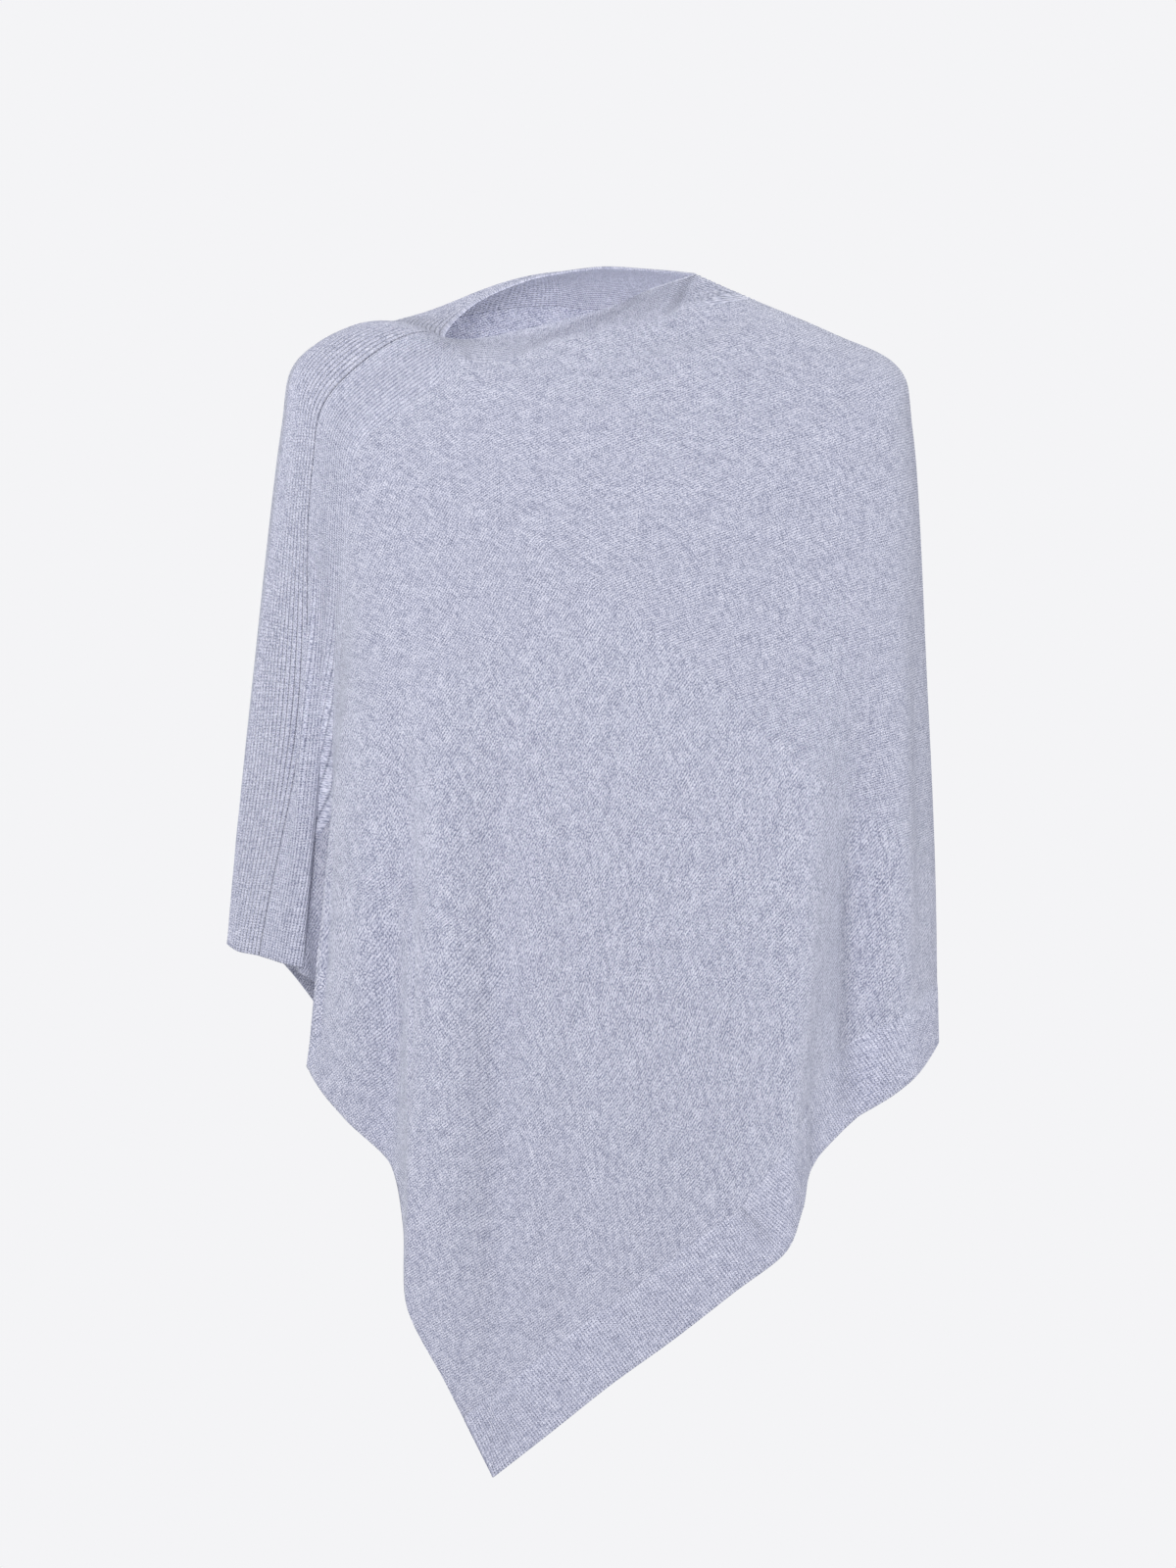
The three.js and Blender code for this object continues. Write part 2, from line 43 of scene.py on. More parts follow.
# Driving sizes of the knit
PANEL_WALL = 1.6
BAND_WALL = 1.3
FRONT_BAND_WIDTH = 47
FRONT_RIB_PITCH = 2.4
FRONT_RIB_HEIGHT = 0.55
BACK_BAND_WIDTH = 60
BACK_RIB_PITCH = 4
BACK_RIB_HEIGHT = 1.0
HEM_BAND_WIDTH = 47
HEM_RIB_PITCH = 2.4
HEM_RIB_HEIGHT = 0.5
JERSEY_PITCH = 1.7
RIB_FADE = 10
CHEST_Z = -300

# How long the drape runs from the neck edge to each section, used as the spacing of its spline
DROPS = (0, 34, 112, 160, 225, 320)

# Sections over the shoulders: leftX, rightX, frontY, backY, leftZ, frontZ, rightZ, backZ, power
SECTIONS = (
    (-140, 96, -84, 82, -19, -50, 8, 23, 2.0),
    (-192, 174, -112, 104, -23, -115, -25, -34, 2.2),
    (-225, 219, -125, 114, -45, -175, -47, -105, 2.4),
    (-237, 233, -131, 120, -98, -230, -98, -180, 2.4),
)

# The neck edge, from the seam along the front, round the wearer's left and back again: x, y, z
NECK = (
    (-112, -14, -35), (-97, -27, -33), (-70, -42, -27), (-33, -53, -19),
    (5, -58, -8), (36, -54, 5), (60, -34, 14), (70, -4, 19),
    (62, 28, 22), (36, 48, 25), (1, 56, 27), (-45, 52, 20),
    (-71, 43, 11), (-92, 31, 0), (-107, 16, -13), (-115, 0, -25),
)

# Lines that hang from the neck edge to the hem, a row for each crest, trough or turn of the cloth:
# name, neck, turn, chestX, chestY, hemX, hemY, hemZ
LINES = (
    ("seam", 0, 209, -223, -48, -253, -22, -487),
    ("arm front", 0.4, 213, -219, -63, -231, -37, -494),
    ("tuck edge", 0.8, 217, -211, -73, -216, -40, -499),
    ("hollow", 1.2, 220, -200, -73, -203, -18, -512),
    ("hollow front", 1.6, 224, -192, -85, -189, -46, -543),
    ("front fold", 2, 229, -186, -105, -216, -86, -568),
    ("left trough", 2.4, 236, -167, -122, -188, -103, -605),
    ("left corner", 2.8, 242, -146, -131, -154, -112, -639),
    ("left fold", 3.1, 246, -133, -136, -144, -130, -684),
    ("left ridge", 3.4, 250, -119, -139, -141, -148, -742),
    ("point side", 3.7, 253, -102, -140, -112, -151, -798),
    ("front point", 4, 257, -82, -140, -78, -149, -866),
    ("lower front", 4.5, 265, -35, -142, -36, -152, -833),
    ("front", 4.9, 271, 6, -143, 8, -154, -798),
    ("right front", 5.3, 279, 54, -142, 54, -151, -765),
    ("right bulge", 5.7, 289, 98, -137, 98, -147, -731),
    ("right ridge", 6, 298, 133, -129, 136, -138, -702),
    ("right fold", 6.3, 304, 152, -122, 149, -114, -670),
    ("right trough", 6.6, 311, 170, -112, 158, -88, -637),
    ("right side", 6.8, 322, 198, -94, 196, -74, -606),
    ("outer front", 7, 338, 228, -62, 233, -52, -577),
    ("outer arm", 7.2, 357, 244, -8, 252, 0, -552),
    ("outer back", 7.6, 376, 234, 44, 241, 46, -558),
    ("back side", 8.1, 401, 196, 90, 200, 84, -588),
    ("back trough", 8.6, 416, 152, 108, 152, 98, -622),
    ("back ridge", 9.2, 430, 104, 124, 108, 132, -656),
    ("back", 10, 442, 48, 128, 48, 136, -700),
    ("back middle", 10.6, 451, -6, 130, -6, 130, -742),
    ("back point", 11.2, 461, -60, 130, -66, 146, -806),
    ("back fold", 11.7, 471, -106, 124, -112, 136, -712),
    ("back left", 12.3, 483, -148, 110, -154, 106, -622),
    ("back hollow", 13, 497, -186, 92, -200, 92, -545),
    ("back arm", 13.8, 511, -224, 70, -240, 76, -492),
    ("arm back", 14.6, 527, -252, 36, -267, 50, -483),
    ("arm side", 15.2, 541, -260, 0, -277, 18, -479),
    ("arm turn", 15.6, 556, -244, -28, -269, -4, -484),
)

# Soft creases of the cloth: the side, points (across, z) along it, its half width and its height.
# Across is x on the front and the back, and y on the left and the right.
CREASES = (
    ("front", ((-118, -240), (-116, -470), (-112, -740)), 17, 5.0),
    ("front", ((-74, -320), (-72, -560), (-72, -800)), 15, -10.0),
    ("front", ((-140, -320), (-146, -470), (-154, -625)), 13, -13.0),
    ("front", ((-170, -400), (-174, -500), (-182, -600)), 12, 4.0),
    ("front", ((194, -300), (194, -490), (188, -655)), 19, -24.0),
    ("front", ((156, -300), (156, -480), (150, -690)), 15, 4.5),
    ("front", ((212, -260), (212, -420), (208, -590)), 17, 4.0),
    ("front", ((-207, -190), (-213, -330), (-214, -580)), 13, -16.0),
    ("front", ((108, 4), (70, -9), (30, -25)), 7, 4.0),
    ("front", ((112, -10), (70, -26), (30, -40)), 7, -4.5),
    ("front", ((-20, -60), (30, -74), (90, -64)), 20, -2.0),
    ("front", ((40, -420), (30, -600), (10, -770)), 30, 2.0),
    ("front", ((-10, -360), (-20, -560), (-30, -780)), 26, -2.0),
    ("front", ((112, -560), (98, -640), (80, -740)), 20, 3.0),
    ("back", ((-110, -200), (-118, -420), (-112, -680)), 20, 4.0),
    ("back", ((-60, -160), (-64, -420), (-58, -700)), 18, -5.0),
    ("back", ((40, -220), (52, -430), (60, -650)), 22, 3.5),
    ("back", ((150, -240), (152, -440), (150, -600)), 16, -7.0),
    ("back", ((4, -300), (0, -500), (-8, -690)), 24, -3.0),
    ("left", ((-40, -220), (-46, -400), (-44, -540)), 15, -4.0),
    ("left", ((22, -200), (26, -380), (24, -520)), 18, 3.4),
    ("right", ((30, -180), (34, -330), (36, -460)), 16, -4.0),
)

# The neck corner and the hem's point, where the stations of the bands fan out
ARM_ROW_SPREAD = 1.15
CORNER_FALL = 0.3
FRONT_CORNER_LINES = 12
BACK_CORNER_LINES = 7
CORNER_REACH = 0.3
POINT_TURN = 60
SIDE_TURN = 50

# How finely the knit is cut
ARM_STATIONS = 170
NECK_STATIONS = 140
HEM_STRIDE = 0.4
PLAIN_EDGE_STEP = 0.02
SEAM_HALF_GAP = 0.01
LINE_STEP = 0.02
FALL_STEP = 0.004
SPLINE_TENSION = 0.42
# The share of the fall that lies above the chest line
UPPER_SHARE = 0.5
# Keeps the last station of a half off the line where front and back meet
SIDE_CLEARANCE = 0.001
EDGE_PROBE = 0.01
PLAIN_EDGE_LINES = 2
PLAIN_EDGE_SAMPLES = 400
TOP_RIB_SAMPLES = {"front": 5, "back": 8}
HEM_STEPS = 14

# Small forms of the knit
RIB_ROUNDNESS = 2.5
RIM_BULGE = 0.55
SEAM_GROOVE_DEPTH = 0.8
SEAM_GROOVE_WIDTH = 1.2
# A crease starts where the cloth faces its side by the first share, and is full at the second
CREASE_FACING = (0.05, 0.8)
CREASE_END_SHARE = 0.02
CREASE_SWELL = 0.7

# Chain stitches of the linked seam
CHAIN_SAMPLES = 2000
CHAIN_PITCH = 2.9
CHAIN_SINK = 0.25
CHAIN_LEAN = 0.45
CHAIN_HALF_LENGTH = 1.35
CHAIN_ARCH = 0.35
CHAIN_HALF_WIDTH = 0.62
CHAIN_HALF_HEIGHT = 0.5
CHAIN_RINGS = 7
CHAIN_SIDES = 8
CHAIN_GIRTH = 2.0

NAMES = [row[0] for row in LINES]
LINE_COUNT = len(LINES)
FRONT_POINT = NAMES.index("front point")
BACK_POINT = NAMES.index("back point")
SIDE_LINE = NAMES.index("outer arm") + 0.4
TABLE = np.array([row[1:] for row in LINES], float)
NECK_TABLE = np.array(NECK, float)
SIDE_SIGNS = {"front": (1, -1), "back": (1, 1), "left": (0, 1), "right": (0, -1)}


def mix(a, b, share):
    return a + (b - a) * share


def smooth(low, high, value):
    share = np.clip((value - low) / (high - low), 0, 1)
    return share * share * (3 - 2 * share)


def unit(vectors):
    return vectors / np.linalg.norm(vectors, axis=-1, keepdims=True)


def dot(a, b):
    return (a * b).sum(-1)


def run_along(points):
    """The length of a path up to each of its points."""
    return np.concatenate([[0], np.cumsum(np.linalg.norm(np.diff(points, axis=0), axis=1))])


def cubic(before, start, end, after, share):
    slope_start = SPLINE_TENSION * (end - before)
    slope_end = SPLINE_TENSION * (after - start)
    square = share * share
    cube = square * share
    straight = start * (2 * cube - 3 * square + 1) + end * (3 * square - 2 * cube)
    return straight + slope_start * (cube - 2 * square + share) + slope_end * (cube - square)


def closed_value(values, place, wrap=0):
    count = len(values)
    base = np.floor(place).astype(int)

    def at(index):
        return values[index % count] + (index // count) * wrap

    return cubic(at(base - 1), at(base), at(base + 1), at(base + 2), place - base)


def hem_value(values, line):
    """The hem turns a corner at its two point lines, so its curve never runs across them."""
    base = np.floor(line).astype(int)

    def at(index):
        return values[index % LINE_COUNT]

    def is_point(index):
        return (index % LINE_COUNT == FRONT_POINT) | (index % LINE_COUNT == BACK_POINT)

    start = at(base)
    end = at(base + 1)
    before = np.where(is_point(base), 2 * start - end, at(base - 1))
    after = np.where(is_point(base + 1), 2 * end - start, at(base + 2))
    return cubic(before, start, end, after, line - base)


def section_point(section, turn):
    left_x, right_x, front_y, back_y, left_z, front_z, right_z, back_z, power = section
    cosine = np.cos(np.radians(turn))
    sine = np.sin(np.radians(turn))
    half_width = (right_x - left_x) / 2
    x = (left_x + right_x) / 2 + np.sign(cosine) * half_width * np.abs(cosine) ** (2 / power)
    y = np.sign(sine) * np.where(sine < 0, -front_y, back_y) * np.abs(sine) ** (2 / power)
    side_z = np.where(cosine < 0, left_z, right_z)
    face_z = np.where(sine < 0, front_z, back_z)
    return np.stack([x, y, side_z * cosine**2 + face_z * sine**2], -1)


def cloth_points(places):
    """The cloth's outer face at places (line, fall), before its creases."""
    line = places[..., 0]
    fall = places[..., 1]
    neck_place = closed_value(TABLE[:, 0], line, len(NECK))
    neck = np.stack([closed_value(NECK_TABLE[:, axis], neck_place) for axis in range(3)], -1)
    turn = closed_value(TABLE[:, 1], line, 360)
    sections = [section_point(section, turn) for section in SECTIONS]
    chest_x = closed_value(TABLE[:, 2], line)
    chest = np.stack([chest_x, closed_value(TABLE[:, 3], line), np.full_like(chest_x, CHEST_Z)], -1)
    hem = np.stack([hem_value(TABLE[:, column], line) for column in (4, 5, 6)], -1)
    points = np.stack([neck, *sections, chest, hem], -2)
    last_drop = DROPS[-1] + CHEST_Z - hem[..., 2]
    drops = np.concatenate([np.broadcast_to(DROPS, (*line.shape, 6)), last_drop[..., None]], -1)
    upper = mix(0, DROPS[-1], fall / UPPER_SHARE)
    lower = mix(DROPS[-1], last_drop, (fall - UPPER_SHARE) / (1 - UPPER_SHARE))
    drop = np.where(fall < UPPER_SHARE, upper, lower)
    index = (drop[..., None] > drops[..., 1:-1]).sum(-1)
    gaps = np.diff(drops, axis=-1)[..., None]
    pace = np.diff(points, axis=-2) / gaps
    inner = pace[..., :-1, :] * gaps[..., 1:, :] + pace[..., 1:, :] * gaps[..., :-1, :]
    inner = inner / (gaps[..., :-1, :] + gaps[..., 1:, :])
    slopes = np.concatenate([pace[..., :1, :], inner, pace[..., -1:, :]], -2)

    def pick(array, offset=0):
        return np.take_along_axis(array, (index + offset)[..., None, None], -2)[..., 0, :]

    span = pick(gaps)
    share = (drop[..., None] - pick(drops[..., None])) / span
    square = share * share
    cube = square * share
    straight = pick(points) * (2 * cube - 3 * square + 1)
    straight = straight + pick(points, 1) * (3 * square - 2 * cube)
    bent = pick(slopes) * (cube - 2 * square + share) + pick(slopes, 1) * (cube - square)
    return straight + bent * span


def shifted(places, line_step, fall_step):
    moved = places + np.array([line_step, fall_step])
    moved[..., 1] = np.clip(moved[..., 1], 0, 1)
    return moved


def cloth_frame(places):
    """How the cloth runs at each place: along the lines' count, down the fall and outwards."""
    ahead = cloth_points(shifted(places, LINE_STEP, 0))
    behind = cloth_points(shifted(places, -LINE_STEP, 0))
    around = (ahead - behind) / (2 * LINE_STEP)
    high = shifted(places, 0, FALL_STEP)
    low = shifted(places, 0, -FALL_STEP)
    down = (cloth_points(high) - cloth_points(low)) / (high - low)[..., 1:]
    return around, down, unit(np.cross(down, around))


def step_over(places, direction, stride, cloth):
    around, down, _ = cloth
    aa = dot(around, around)
    ad = dot(around, down)
    dd = dot(down, down)
    ha = dot(direction, around)
    hd = dot(direction, down)
    determinant = aa * dd - ad * ad
    line = places[..., 0] + stride * (ha * dd - hd * ad) / determinant
    fall = places[..., 1] + stride * (hd * aa - ha * ad) / determinant
    return np.stack([line, np.clip(fall, 0, 1)], -1)


def walk(starts, heading, widths, steps):
    """Walks from each start over its width and returns the places passed, one row a start."""
    places = [starts]
    direction = None
    for _ in range(steps):
        cloth = cloth_frame(places[-1])
        direction = heading(cloth, direction)
        places.append(step_over(places[-1], direction, widths / steps, cloth))
    return np.stack(places, 1)


def nudged(places, heading, distance):
    cloth = cloth_frame(places)
    return step_over(places, heading(cloth, None), distance, cloth)


def angled_heading(sign, angles):
    """Runs at a fixed angle between the lines' count and the fall."""

    def heading(cloth, _):
        around, down, _ = cloth
        across = unit(around) * (sign * np.cos(angles))[:, None]
        return across + unit(down) * np.sin(angles)[:, None]

    return heading


def straight_heading(vectors):
    """Starts as a vector and stays straight on the cloth."""

    def heading(cloth, before):
        direction = vectors if before is None else before
        outward = cloth[2]
        return unit(direction - outward * dot(direction, outward)[:, None])

    return heading


def crease_lift(points, outward):
    """How far the creases raise or lower the cloth at each point."""
    lift = np.zeros(points.shape[:-1])
    for side, path, half_width, height in CREASES:
        axis, sign = SIDE_SIGNS[side]
        across = points[..., 1 - axis]
        facing = smooth(*CREASE_FACING, outward[..., axis] * sign)
        flat = np.stack([across, points[..., 2]], -1)
        nodes = np.array(path, float)
        lengths = np.linalg.norm(np.diff(nodes, axis=0), axis=1)
        starts = np.concatenate([[0], np.cumsum(lengths)])
        nearest = np.full(lift.shape, 1e9)
        along = np.zeros(lift.shape)
        for start, end, length, passed in zip(nodes, nodes[1:], lengths, starts):
            share = np.clip(dot(flat - start, end - start) / length**2, 0, 1)
            away = np.linalg.norm(flat - start - share[..., None] * (end - start), axis=-1)
            closer = away < nearest
            nearest = np.where(closer, away, nearest)
            along = np.where(closer, (passed + share * length) / starts[-1], along)
        along = np.clip(along, CREASE_END_SHARE, 1 - CREASE_END_SHARE)
        swell = np.sin(np.pi * along) ** CREASE_SWELL
        lift += facing * height * swell * np.exp(-((nearest / half_width) ** 2))
    return lift


def faces_of_wall(places, lifts, wall):
    """Points of the outer and the inner face of a wall."""
    base = cloth_points(places)
    outward = cloth_frame(places)[2]
    crease = crease_lift(base, outward)[..., None]
    outer = base + outward * (crease + lifts[..., None])
    inner = base + outward * (crease - wall)
    return outer, inner


def distance_to(points, path):
    """The distance from each point to the nearest place of a path, found a row at a time."""
    starts = path[:-1]
    spans = path[1:] - starts
    squares = np.maximum(dot(spans, spans), 1e-9)
    rows = []
    for row in points:
        offset = row[:, None, :] - starts
        share = np.clip(dot(offset, spans) / squares, 0, 1)
        rows.append(np.linalg.norm(offset - share[..., None] * spans, axis=-1).min(1))
    return np.stack(rows)


def rim_loop(rows, columns):
    """The grid places round the edge of a grid, each with the place next to it inside."""
    top = [((0, c), (1, c)) for c in range(columns)]
    right = [((r, columns - 1), (r, columns - 2)) for r in range(1, rows)]
    bottom = [((rows - 1, c), (rows - 2, c)) for c in range(columns - 2, -1, -1)]
    left = [((r, 0), (r, 1)) for r in range(rows - 2, 0, -1)]
    return top + right + bottom + left


def shell(name, outer, inner, uv, free_edge, material, pitch=JERSEY_PITCH):
    """A closed knitted wall; its free edges are rounded, free_edge(row, column) says which."""
    rows, columns = outer.shape[:2]
    ids = np.arange(rows * columns).reshape(rows, columns)
    inner_ids = ids + rows * columns
    loop = rim_loop(rows, columns)
    rim_points = []
    for (r, c), (near_r, near_c) in loop:
        middle = (outer[r, c] + inner[r, c]) / 2
        away = middle - (outer[near_r, near_c] + inner[near_r, near_c]) / 2
        bulge = RIM_BULGE if free_edge(r, c) else 0.0
        rim_points.append(middle + unit(away) * bulge)
    rim_ids = 2 * rows * columns + np.arange(len(loop))
    outer_loop = np.array([ids[place] for place, _ in loop])
    inner_loop = np.array([inner_ids[place] for place, _ in loop])

    def quads(a, b, c, d):
        return np.stack([a, b, c, d], -1).reshape(-1, 4)

    def around(first, second):
        return quads(first, second, np.roll(second, -1), np.roll(first, -1))

    faces = np.concatenate([
        quads(ids[:-1, :-1], ids[:-1, 1:], ids[1:, 1:], ids[1:, :-1]),
        quads(inner_ids[:-1, :-1], inner_ids[1:, :-1], inner_ids[1:, 1:], inner_ids[:-1, 1:]),
        around(outer_loop, rim_ids),
        around(rim_ids, inner_loop),
    ])
    points = np.concatenate([outer.reshape(-1, 3), inner.reshape(-1, 3), np.array(rim_points)])
    a, b, c, d = (points[faces[:, corner]] for corner in range(4))
    if (dot(a, np.cross(b, c)) + dot(a, np.cross(c, d))).sum() < 0:
        faces = faces[:, ::-1]
    # The inside has no ribs, so its rows are as fine as plain knit
    inner_uv = uv * np.array([1, pitch / JERSEY_PITCH])
    rim_uv = np.array([uv[place] for place, _ in loop])
    all_uv = np.concatenate([uv.reshape(-1, 2), inner_uv.reshape(-1, 2), rim_uv])
    sealed = np.zeros(len(points), int)
    joined = np.array([not free_edge(*place) for place, _ in loop])
    sealed[outer_loop[joined]] = 1
    sealed[inner_loop[joined]] = 2
    return mesh_object(name, points, faces.tolist(), all_uv, material, sealed)


def placed(name, data):
    """A new object of the scene."""
    thing = bpy.data.objects.new(name, data)
    bpy.context.scene.collection.objects.link(thing)
    return thing


def mesh_object(name, points, faces, uv, material, sealed):
    """A knitted mesh. An edge between vertices sealed alike is sharp, so the shading runs on."""
    mesh = bpy.data.meshes.new(name)
    mesh.from_pydata((points * MM).tolist(), [], faces)
    layer = mesh.uv_layers.new(name="knit")
    corners = np.empty(len(mesh.loops), int)
    mesh.loops.foreach_get("vertex_index", corners)
    layer.data.foreach_set("uv", (uv[corners] * MM).ravel())
    mesh.polygons.foreach_set("use_smooth", [True] * len(mesh.polygons))
    ends = np.empty(2 * len(mesh.edges), int)
    mesh.edges.foreach_get("vertices", ends)
    ends = sealed[ends].reshape(-1, 2)
    mesh.edges.foreach_set("use_edge_sharp", (ends[:, 0] > 0) & (ends[:, 0] == ends[:, 1]))
    mesh.materials.append(material)
    piece = placed(name, mesh)
    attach(piece, "root")
    return piece


def rib_lift(distance, pitch, height):
    """Rounded ribs with narrow grooves between them."""
    return height * (1 - np.abs(np.cos(np.pi * distance / pitch)) ** RIB_ROUNDNESS)


class Half:
    """One half of the garment, from the shoulder seam to the wearer's left side."""

    def __init__(self, label, seam, point, sign, width, pitch, height, corner):
        self.label = label
        self.seam = seam
        self.point = point
        self.sign = sign
        self.width = width
        self.pitch = pitch
        self.height = height
        right = math.pi / 2
        arm_falls = np.linspace(1, 0, ARM_STATIONS + 1) ** ARM_ROW_SPREAD
        neck_lines = np.linspace(seam, SIDE_LINE - sign * SIDE_CLEARANCE, NECK_STATIONS + 1)[1:]
        arm_angles = right * 0.5 * (1 - smooth(0, CORNER_FALL, arm_falls))
        neck_angles = right * mix(0.5, 1, smooth(0, corner, np.abs(neck_lines - seam)))
        arm = np.stack([np.full_like(arm_falls, seam), arm_falls], -1)
        neck = np.stack([neck_lines, np.zeros_like(neck_lines)], -1)
        self.starts = np.concatenate([arm, neck])
        angles = np.concatenate([arm_angles, neck_angles])
        self.widths = width * (1 + CORNER_REACH * np.sin(2 * angles))
        self.heading = angled_heading(sign, angles)
        self.corner_index = ARM_STATIONS

    def top_band(self, samples, material):
        steps = samples * round(self.width / self.pitch)
        places = walk(self.starts, self.heading, self.widths, steps)
        self.edge = places[:, -1]
        seam = slice(0, self.corner_index + 1)
        places[seam, 0] = nudged(places[seam, 0], self.seam_heading(), SEAM_HALF_GAP)
        places[:, -1] = nudged(self.edge, self.heading, -SEAM_HALF_GAP)
        distances = np.linspace(0, self.width, steps + 1)
        ribs = rib_lift(distances, self.pitch, self.height)
        lifts = np.broadcast_to(ribs, places.shape[:2]).copy()
        on_arm = np.arange(len(places)) <= self.corner_index
        lifts[on_arm] -= SEAM_GROOVE_DEPTH * np.exp(-((distances / SEAM_GROOVE_WIDTH) ** 2))
        lifts *= 1 - smooth(self.width - RIB_FADE, self.width, distances)
        outer, inner = faces_of_wall(places, lifts, BAND_WALL)
        run = run_along(outer[:, 0])
        # The neck's rim is a crest of the knit, and the arm's seam is a groove, so the painted
        # groove shade runs along the seam and not along the rim
        rows = np.where(on_arm[:, None], distances, np.maximum(distances, self.pitch / 2))
        uv = np.stack(np.broadcast_arrays(run[:, None], rows), -1)

        def free(row, column):
            return row == 0 or (column == 0 and row > self.corner_index)

        name = f"{self.label}_top_band_knit"
        return shell(name, outer, inner, uv, free, material, self.pitch)

    def seam_heading(self):
        angles = np.zeros(self.corner_index + 1)
        return angled_heading(self.sign, angles)

    def hem_lines(self):
        count = round(abs(SIDE_LINE - self.point) / PLAIN_EDGE_STEP)
        lines = np.linspace(self.point, SIDE_LINE - self.sign * SIDE_CLEARANCE, count + 1)
        places = np.stack([lines, np.ones_like(lines)], -1)
        points = cloth_points(places)
        run = run_along(points)
        count = round(run[-1] / HEM_STRIDE)
        even = np.linspace(0, run[-1], count + 1)
        return np.interp(even, run, lines), even

    def hem_places(self, steps):
        """Places up the hem's band: square to the hem, but along the plain edge at its point."""
        lines, run = self.hem_lines()
        starts = np.stack([lines, np.ones_like(lines)], -1)
        ahead = cloth_points(starts + np.array([self.sign * EDGE_PROBE, 0]))
        along = unit(ahead - cloth_points(starts))
        up = -unit(cloth_frame(starts)[1])
        square = unit(up - along * dot(up, along)[:, None])
        point = cloth_points(np.array([[self.point, 1.0]]))
        beside = cloth_points(np.array([[self.point - self.sign * EDGE_PROBE, 1.0]]))
        plain = unit(beside - point)
        turned = smooth(0, POINT_TURN, run)[:, None]
        widths = np.full(len(lines), float(HEM_BAND_WIDTH))
        leaning = unit(mix(plain, square, turned))
        square_way = walk(starts, straight_heading(leaning), widths, steps)
        upright_way = walk(starts, lambda cloth, _: -unit(cloth[1]), widths, steps)
        to_side = smooth(0, SIDE_TURN, run[-1] - run)[:, None, None]
        places = mix(upright_way, square_way, to_side)
        places[0] = self.plain_edge_places(steps)
        return places, run

    def plain_edge_places(self, steps):
        end = self.point - self.sign * PLAIN_EDGE_LINES
        lines = np.linspace(self.point, end, PLAIN_EDGE_SAMPLES)
        points = cloth_points(np.stack([lines, np.ones_like(lines)], -1))
        run = run_along(points)
        at = np.interp(np.linspace(0, HEM_BAND_WIDTH, steps + 1), run, lines)
        return np.stack([at, np.ones_like(at)], -1)

    def hem_band(self, steps, material):
        places, run = self.hem_places(steps)
        self.hem_edge = places[:, -1]
        count = round(run[-1] / HEM_RIB_PITCH)
        pitch = run[-1] / count
        ribs = rib_lift(run, pitch, HEM_RIB_HEIGHT)[:, None]
        lifts = np.broadcast_to(ribs, places.shape[:2]).copy()
        distances = np.linspace(0, HEM_BAND_WIDTH, steps + 1)
        lifts *= 1 - smooth(HEM_BAND_WIDTH - RIB_FADE, HEM_BAND_WIDTH, distances)
        outer, inner = faces_of_wall(places, lifts, BAND_WALL)
        even_run = run[:, None] * HEM_RIB_PITCH / pitch
        uv = np.stack(np.broadcast_arrays(distances[None, :], even_run), -1)

        def free(row, column):
            return column == 0 or row == 0

        name = f"{self.label}_hem_band_knit"
        return shell(name, outer, inner, uv, free, material, HEM_RIB_PITCH)

    def panel(self, material):
        left = self.edge[: self.corner_index + 1][::-1]
        tops = self.edge[self.corner_index:]
        columns = len(tops) - 1
        hem_count = round(columns * abs(SIDE_LINE - self.point) / abs(SIDE_LINE - self.seam))
        hem_rows = np.linspace(0, len(self.hem_edge) - 1, hem_count + 1).round().astype(int)
        hem = self.hem_edge[hem_rows]
        plain_lines = np.linspace(left[-1, 0], hem[0, 0], columns - hem_count + 1)[:-1]
        plain = np.stack([plain_lines, np.ones_like(plain_lines)], -1)
        bottoms = np.concatenate([plain, hem])
        shares = ((left[:, 1] - left[0, 1]) / (1 - left[0, 1]))[:, None]
        right_lines = mix(tops[-1, 0], bottoms[-1, 0], shares)
        top_shares = (tops[:, 0] - tops[0, 0]) / (tops[-1, 0] - tops[0, 0])
        bottom_shares = (bottoms[:, 0] - bottoms[0, 0]) / (bottoms[-1, 0] - bottoms[0, 0])
        across = mix(top_shares[None, :], bottom_shares[None, :], shares)
        lines = mix(left[:, :1], right_lines, across)
        falls = mix(tops[None, :, 1], bottoms[None, :, 1], shares)
        places = np.stack([lines, falls], -1)
        outer, inner = faces_of_wall(places, np.zeros(places.shape[:2]), PANEL_WALL)
        plain_last = len(plain)
        top_path = np.concatenate([outer[::-1, 0], outer[0, 1:]])
        to_top = distance_to(outer, top_path[::3])
        to_hem = distance_to(outer, outer[-1, plain_last:])
        to_plain = distance_to(outer, outer[-1, : plain_last + 1])
        to_side = distance_to(outer, outer[::3, -1])
        down = (to_top - to_hem) / 2
        along = (to_plain - to_side) / 2
        uv = np.stack([along, down], -1)

        def free(row, column):
            return row == len(outer) - 1 and column < plain_last

        return shell(f"{self.label}_panel_knit", outer, inner, uv, free, material)


